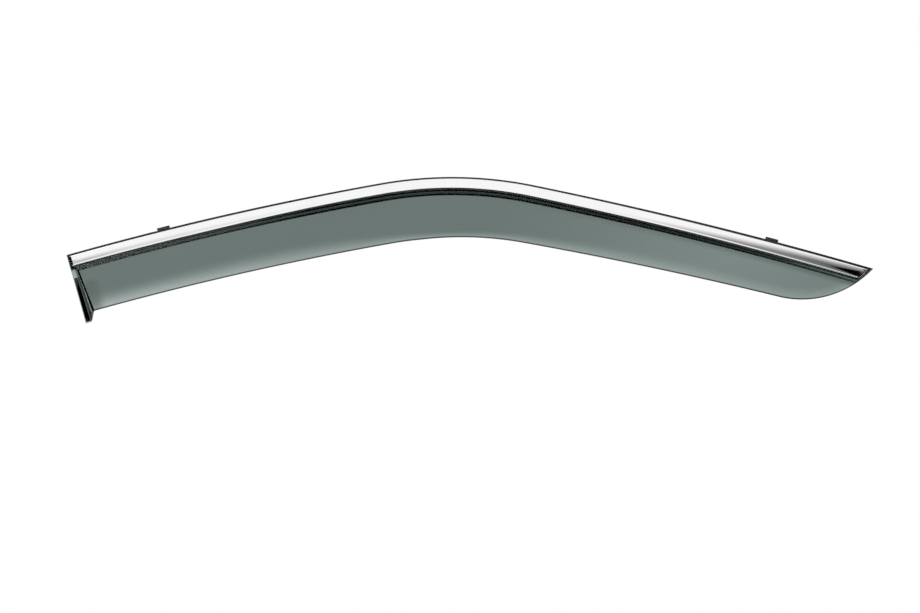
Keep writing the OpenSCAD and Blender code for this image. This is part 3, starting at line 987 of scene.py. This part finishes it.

# Three masks paint shade into the plastic's base colour where it shows dark. A span says where a
# mask sets in and where it is full, in mm from an edge, or in metres along X.
# The painted dark line along the lower edge
EDGE_LINE_SPAN = (1.4, 1.9)
EDGE_LINE_PAINTED_SHADE = 0.15
# The painted shade band on the shoulder under the trim, from the crown to near the trim's end
BAND_UPPER_SPAN = (8.0, 9.0)
BAND_LOWER_SPAN = (20.3, 19.2)
BAND_START_SPAN = (-0.02, 0.24)
BAND_END_SPAN = (0.415, 0.385)
BAND_SHARE = 0.8
# The soft painted shade on the blade beside the return wall, which is darkest low down
AREA_START_SPAN = (12.5, 14.5)
AREA_END_SPAN = (33.0, 20.0)
AREA_UPPER_SPAN = (32.0, 42.0)
AREA_UPPER_SHARE = 0.22
AREA_LOWER_SPAN = (54.0, 64.0)
AREA_LOWER_SHARE = 0.2


def kept_distance(tree, name):
    """One of the distances that measure_from_edges keeps."""
    return add(tree, "ShaderNodeAttribute", attribute_name=name).outputs["Fac"]


# Painted shade: a dark line along the blade's lower edge, set into the plastic's base colour
def painted_edge_line_shade(tree):
    from_edge = kept_distance(tree, "from_lower_edge")
    return slope_of(tree, from_edge, EDGE_LINE_SPAN, EDGE_LINE_PAINTED_SHADE, 1.0)


# Painted shade: a dark band on the shoulder under the trim, set into the plastic's base colour
def painted_shade_under_trim(tree):
    where = add(tree, "ShaderNodeTexCoord").outputs["Object"]
    x = add(tree, "ShaderNodeSeparateXYZ", {"Vector": where}).outputs["X"]
    down = kept_distance(tree, "from_top_edge")
    upper = slope_of(tree, down, BAND_UPPER_SPAN)
    lower = slope_of(tree, down, BAND_LOWER_SPAN)
    start = slope_of(tree, x, BAND_START_SPAN, 0.0, BAND_SHARE)
    end = slope_of(tree, x, BAND_END_SPAN)
    across, ahead = product(tree, upper, lower), product(tree, start, end)
    return difference(tree, 1.0, product(tree, across, ahead))


# Painted shade: a soft dark area on the blade beside the return wall, darkest low down, set into
# the plastic's base colour
def painted_shade_by_return_wall(tree):
    down = kept_distance(tree, "from_top_edge")
    ahead = kept_distance(tree, "from_rear_end")
    start = slope_of(tree, ahead, AREA_START_SPAN)
    end = slope_of(tree, ahead, AREA_END_SPAN)
    upper = slope_of(tree, down, AREA_UPPER_SPAN, 0.0, AREA_UPPER_SHARE)
    lower = slope_of(tree, down, AREA_LOWER_SPAN, 0.0, AREA_LOWER_SHARE)
    near, dark = product(tree, start, end), sum_of(tree, upper, lower)
    return difference(tree, 1.0, product(tree, near, dark))


def smoked_plastic():
    material, tree, shader = new_material(
        "smoked_plastic", Transmission_Weight=1.0, IOR=ACRYLIC_IOR, Roughness=0.0
    )
    tint = use_group(tree, MOTTLE, Size=0.12, Low=0.965, High=1.0).outputs["Value"]
    # edge_line, band and area are painted shade: a dark line along the lower edge, a dark band
    # under the trim and a dark area beside the return wall; the base colour is the mottle tint
    # times this painted shade
    edge_line, band, area = painted_edge_line_shade(tree), painted_shade_under_trim(tree), painted_shade_by_return_wall(tree)
    tint_and_painted_shade = product(tree, tint, edge_line, band, area)
    colour = add(tree, "ShaderNodeCombineColor", {i: tint_and_painted_shade for i in range(3)})
    waves = use_group(tree, WAVINESS, Size=0.06, Depth=0.000004)
    smoke = {"Color": SMOKE_PASSED, "Density": SMOKE_DENSITY}
    volume = add(tree, "ShaderNodeVolumeAbsorption", smoke)
    tree.links.new(colour.outputs["Color"], shader.inputs["Base Color"])
    tree.links.new(waves.outputs["Normal"], shader.inputs["Normal"])
    tree.links.new(volume.outputs["Volume"], tree.nodes["Material Output"].inputs["Volume"])
    return material


def bright_trim():
    material, tree, shader = new_material("bright_trim", Metallic=1.0)
    tone = use_group(tree, MOTTLE, Size=0.05, Low=0.9, High=0.94)
    colour = add(tree, "ShaderNodeCombineColor", {i: tone.outputs["Value"] for i in range(3)})
    sheen = use_group(tree, MOTTLE, Size=0.012, Low=0.03, High=0.07)
    waves = use_group(tree, WAVINESS, Size=0.006, Depth=0.000004)
    tree.links.new(colour.outputs["Color"], shader.inputs["Base Color"])
    tree.links.new(sheen.outputs["Value"], shader.inputs["Roughness"])
    tree.links.new(waves.outputs["Normal"], shader.inputs["Normal"])
    return material


FOAM_CELLS = 3200.0


def foam_tape():
    material, tree, shader = new_material("foam_tape", Specular_IOR_Level=0.15)
    where = add(tree, "ShaderNodeTexCoord").outputs["Object"]
    cells = add(tree, "ShaderNodeTexVoronoi", {"Vector": where, "Scale": FOAM_CELLS})
    tone = add(
        tree,
        "ShaderNodeMapRange",
        {"Value": cells.outputs["Distance"], "From Max": 0.9, "To Min": 0.003, "To Max": 0.012},
    )
    colour = add(tree, "ShaderNodeCombineColor", {i: tone.outputs["Result"] for i in range(3)})
    sheen = use_group(tree, MOTTLE, Size=0.004, Low=0.62, High=0.85)
    bump = add(tree, "ShaderNodeBump", {"Height": cells.outputs["Distance"], "Distance": 0.00006})
    tree.links.new(colour.outputs["Color"], shader.inputs["Base Color"])
    tree.links.new(sheen.outputs["Value"], shader.inputs["Roughness"])
    tree.links.new(bump.outputs["Normal"], shader.inputs["Normal"])
    return material


STEEL_BLUE = 0.012


def spring_steel():
    material, tree, shader = new_material("spring_steel", Metallic=1.0)
    tone = use_group(tree, MOTTLE, Size=0.003, Low=0.04, High=0.09).outputs["Value"]
    blue = sum_of(tree, tone, STEEL_BLUE)
    colour = add(tree, "ShaderNodeCombineColor", {"Red": tone, "Green": tone, "Blue": blue})
    sheen = use_group(tree, MOTTLE, Size=0.001, Low=0.28, High=0.42)
    tree.links.new(colour.outputs["Color"], shader.inputs["Base Color"])
    tree.links.new(sheen.outputs["Value"], shader.inputs["Roughness"])
    return material


# Stage: floor, world, lamps and camera

CEILING_SPAN = (0.53, 0.6)
CEILING_TONE = 0.08
FLOOR_Z = -0.62
FLOOR_SIZE = 14
MATT_LIGHT = 0.7
CAMERA_RAYS = ("Is Camera Ray",)
BENT_RAYS = ("Is Glossy Ray", "Is Transmission Ray")


def by_rays(tree, kinds, others, shown):
    """The shader shown for rays of the given kinds, and others for the rest."""
    path = add(tree, "ShaderNodeLightPath")
    share = any_of(tree, *[path.outputs[kind] for kind in kinds])
    return add(tree, "ShaderNodeMixShader", {0: share, 1: others, 2: shown}).outputs[0]


def floor():
    mesh = bpy.data.meshes.new("floor")
    half = FLOOR_SIZE / 2
    corners = [(-half, -half), (half, -half), (half, half), (-half, half)]
    mesh.from_pydata([(x, y, FLOOR_Z) for x, y in corners], [], [(0, 1, 2, 3)])
    obj = bpy.data.objects.new("floor", mesh)
    bpy.context.scene.collection.objects.link(obj)
    material = bpy.data.materials.new("floor")
    material.use_nodes = True
    tree = material.node_tree
    tree.nodes.clear()
    out = add(tree, "ShaderNodeOutputMaterial")
    matt = add(tree, "ShaderNodeBsdfDiffuse", {"Color": (0.8, 0.8, 0.8, 1)}).outputs[0]
    glow = add(tree, "ShaderNodeEmission", {"Color": (1, 1, 1, 1), "Strength": 1.0}).outputs[0]
    seen = by_rays(tree, CAMERA_RAYS + BENT_RAYS, matt, glow)
    tree.links.new(seen, out.inputs["Surface"])
    mesh.materials.append(material)


def background(tree, strength):
    white = {"Color": (1, 1, 1, 1), "Strength": strength}
    return add(tree, "ShaderNodeBackground", white).outputs[0]


def world():
    """White to the camera, a room with a dark ceiling to mirrors, and soft light to the rest."""
    made = bpy.data.worlds.new("studio")
    bpy.context.scene.world = made
    made.use_nodes = True
    tree = made.node_tree
    tree.nodes.clear()
    out = add(tree, "ShaderNodeOutputWorld")
    where = add(tree, "ShaderNodeTexCoord").outputs["Generated"]
    height = add(tree, "ShaderNodeSeparateXYZ", {"Vector": where}).outputs["Z"]
    ceiling = slope_of(tree, height, CEILING_SPAN, 1.0, CEILING_TONE)
    plain, matt, room = [background(tree, v) for v in (1.0, MATT_LIGHT, ceiling)]
    lit = by_rays(tree, BENT_RAYS, matt, room)
    shown = by_rays(tree, CAMERA_RAYS, lit, plain)
    tree.links.new(shown, out.inputs["Surface"])


def card(name, corners, tone):
    """A flat panel that only reflections see. tone builds its brightness from a point's axes."""
    mesh = bpy.data.meshes.new(name)
    mesh.from_pydata(corners, [], [(0, 1, 2, 3)])
    obj = bpy.data.objects.new(name, mesh)
    bpy.context.scene.collection.objects.link(obj)
    for kind in ("camera", "diffuse", "transmission", "volume_scatter", "shadow"):
        setattr(obj, "visible_" + kind, False)
    material = bpy.data.materials.new(name)
    material.use_nodes = True
    tree = material.node_tree
    tree.nodes.clear()
    where = add(tree, "ShaderNodeTexCoord").outputs["Object"]
    axes = add(tree, "ShaderNodeSeparateXYZ", {"Vector": where})
    glow = add(tree, "ShaderNodeEmission", {"Color": (1, 1, 1, 1), "Strength": tone(tree, axes)})
    out = add(tree, "ShaderNodeOutputMaterial")
    tree.links.new(glow.outputs[0], out.inputs["Surface"])
    mesh.materials.append(material)
    return obj


# Tones of the panels. A span says between which places, in metres, a part of the tone changes.
FRONT_AHEAD_SPANS = ((-0.02, 0.37), (0.37, 0.45))
FRONT_AHEAD_SHARES = (0.77, 0.09)
FRONT_AHEAD_RISE = 0.8
FRONT_AHEAD_DROP = 0.27
FRONT_AHEAD_DEPTH = (0.0, 0.25)
FRONT_BEHIND_SPANS = ((-0.05, -0.36), (-0.36, -0.42))
FRONT_BEHIND_SHARES = (0.3, 0.22)
FRONT_BEHIND_DEPTH = (-0.05, -0.3)
RUN_SLOPE = -0.268
WEDGE_UPPER = (2.53, 1.43)
WEDGE_UPPER_SPAN = (0.0, 0.012)
WEDGE_LOWER = (-3.3, 1.457)
WEDGE_LOWER_SPAN = (0.0, 0.02)
WEDGE_END_SPAN = (0.5425, 0.5415)
TIP_END_SPAN = (0.5475, 0.5485)
REAR_END_SPAN = (-0.5, -0.57)
LIP_ALONG_SPAN = (-0.462, -0.464)
LIP_HEIGHT_SPAN = (-0.122, -0.126)
HIGH_SPANS = ((-0.45, -0.7), (-0.65, -0.9))
HIGH_SHARES = (1.0, 1.5)
DARK = 0.01
REAR_TOP_SPAN = (0.1, 0.28)
REAR_SIDE_SPAN = (-0.72, -0.57)
STRIP_SPAN = (0.3, 1.2)
STRIP_LIGHT = 10.0


def two_slopes(tree, value, spans, highs):
    slopes = [slope_of(tree, value, span, 0.0, high) for span, high in zip(spans, highs)]
    return sum_of(tree, *slopes)


def wedge_share(tree, z, run):
    """The black wedge that the trim mirrors near its tip."""
    upper = difference(tree, product(tree, run, WEDGE_UPPER[0]), WEDGE_UPPER[1])
    lower = sum_of(tree, WEDGE_LOWER[1], product(tree, run, WEDGE_LOWER[0]))
    below = slope_of(tree, difference(tree, upper, z), WEDGE_UPPER_SPAN)
    above = slope_of(tree, difference(tree, z, lower), WEDGE_LOWER_SPAN)
    return product(tree, below, above, slope_of(tree, run, WEDGE_END_SPAN))


def front_tone(tree, axes):
    """White, but darker low down towards both ends, and black where the ends and the lip look."""
    x, z = axes.outputs["X"], axes.outputs["Z"]
    ahead = two_slopes(tree, x, FRONT_AHEAD_SPANS, FRONT_AHEAD_SHARES)
    lift = product(tree, x, FRONT_AHEAD_RISE)
    depth = difference(tree, difference(tree, lift, z), FRONT_AHEAD_DROP)
    low_front = product(tree, ahead, slope_of(tree, depth, FRONT_AHEAD_DEPTH))
    behind = two_slopes(tree, x, FRONT_BEHIND_SPANS, FRONT_BEHIND_SHARES)
    low_rear = product(tree, behind, slope_of(tree, z, FRONT_BEHIND_DEPTH))
    run = sum_of(tree, x, product(tree, z, RUN_SLOPE))
    wedge = wedge_share(tree, z, run)
    ends = any_of(tree, slope_of(tree, run, TIP_END_SPAN), slope_of(tree, x, REAR_END_SPAN))
    lip = product(tree, slope_of(tree, x, LIP_ALONG_SPAN), slope_of(tree, z, LIP_HEIGHT_SPAN))
    black = any_of(tree, wedge, ends, lip)
    tone = 1.0
    for share in (low_front, low_rear, black):
        tone = product(tree, tone, difference(tree, 1.0, share))
    return tone


def high_tone(tree, axes):
    """Bright above the rear end, and fading towards the middle."""
    return two_slopes(tree, axes.outputs["X"], HIGH_SPANS, HIGH_SHARES)


def dark_tone(tree, axes):
    return DARK


def rear_tone(tree, axes):
    """Dark, with soft edges above and towards the blade."""
    above = slope_of(tree, axes.outputs["Z"], REAR_TOP_SPAN)
    return any_of(tree, above, slope_of(tree, axes.outputs["X"], REAR_SIDE_SPAN))


def strip_tone(tree, axes):
    """Bright low down, and fading upwards."""
    return slope_of(tree, axes.outputs["Z"], STRIP_SPAN, STRIP_LIGHT, 0.0)


CARD_FOOT = -0.6
CARD_TOP = 1.2


def upright(start, end, low, high):
    """Corners of a standing panel between two places on the floor."""
    return [(*start, low), (*end, low), (*end, high), (*start, high)]


def level(xs, ys, z):
    """Corners of a level panel."""
    return [(xs[0], ys[0], z), (xs[1], ys[0], z), (xs[1], ys[1], z), (xs[0], ys[1], z)]


def cards():
    card("front_card", upright((-0.8, -0.5), (0.8, -0.5), CARD_FOOT, 0.06), front_tone)
    card("high_strip", level((-1.6, -0.3), (-1.7, -0.45), CARD_TOP), high_tone)
    card("rear_dark", upright((-1.3, 0.5), (-0.56, -0.8), CARD_FOOT, 0.28), rear_tone)
    card("low_dark", level((0.53, 1), (-0.6, 0.05), CARD_FOOT), dark_tone)
    card("front_dark", upright((1, -0.6), (1, 0.2), CARD_FOOT, 0.1), dark_tone)
    card("side_strip", upright((-1.6, -0.35), (-1.6, 0.35), CARD_FOOT, CARD_TOP), strip_tone)


def area_lamp(name, where, size, power):
    light = bpy.data.lights.new(name, "AREA")
    light.size = size
    light.energy = power
    obj = bpy.data.objects.new(name, light)
    obj.location = where
    obj.rotation_euler = (-Vector(where)).to_track_quat("-Z", "Y").to_euler()
    obj.visible_glossy = False
    bpy.context.scene.collection.objects.link(obj)


def camera():
    data = bpy.data.cameras.new("camera")
    data.sensor_width = SENSOR_WIDTH
    data.lens = SENSOR_WIDTH * VIEW_DISTANCE / VIEW_WIDTH
    data.clip_end = 100
    obj = bpy.data.objects.new("camera", data)
    obj.location = Vector((VIEW_CENTRE[0], -VIEW_DISTANCE, VIEW_CENTRE[1])) * MM
    obj.rotation_euler = (QUARTER_TURN, 0, 0)
    bpy.context.scene.collection.objects.link(obj)
    bpy.context.scene.camera = obj


camera()
floor()
world()
cards()
area_lamp("key", (-1.2, -2.2, 1.8), 1.6, 25)
area_lamp("fill", (1.6, 1.8, 1.4), 1.6, 12)

smoke, bright = smoked_plastic(), bright_trim()
black_foam, steel = foam_tape(), spring_steel()
visor_moulding().data.materials.append(smoke)
chrome_trim().data.materials.append(bright)
for strip in foam():
    strip.data.materials.append(black_foam)
for name, s in (("clip_rear", CLIP_REAR_S), ("clip_front", CLIP_FRONT_S)):
    clip(name, s).data.materials.append(steel)

bpy.context.scene.view_settings.view_transform = "Standard"
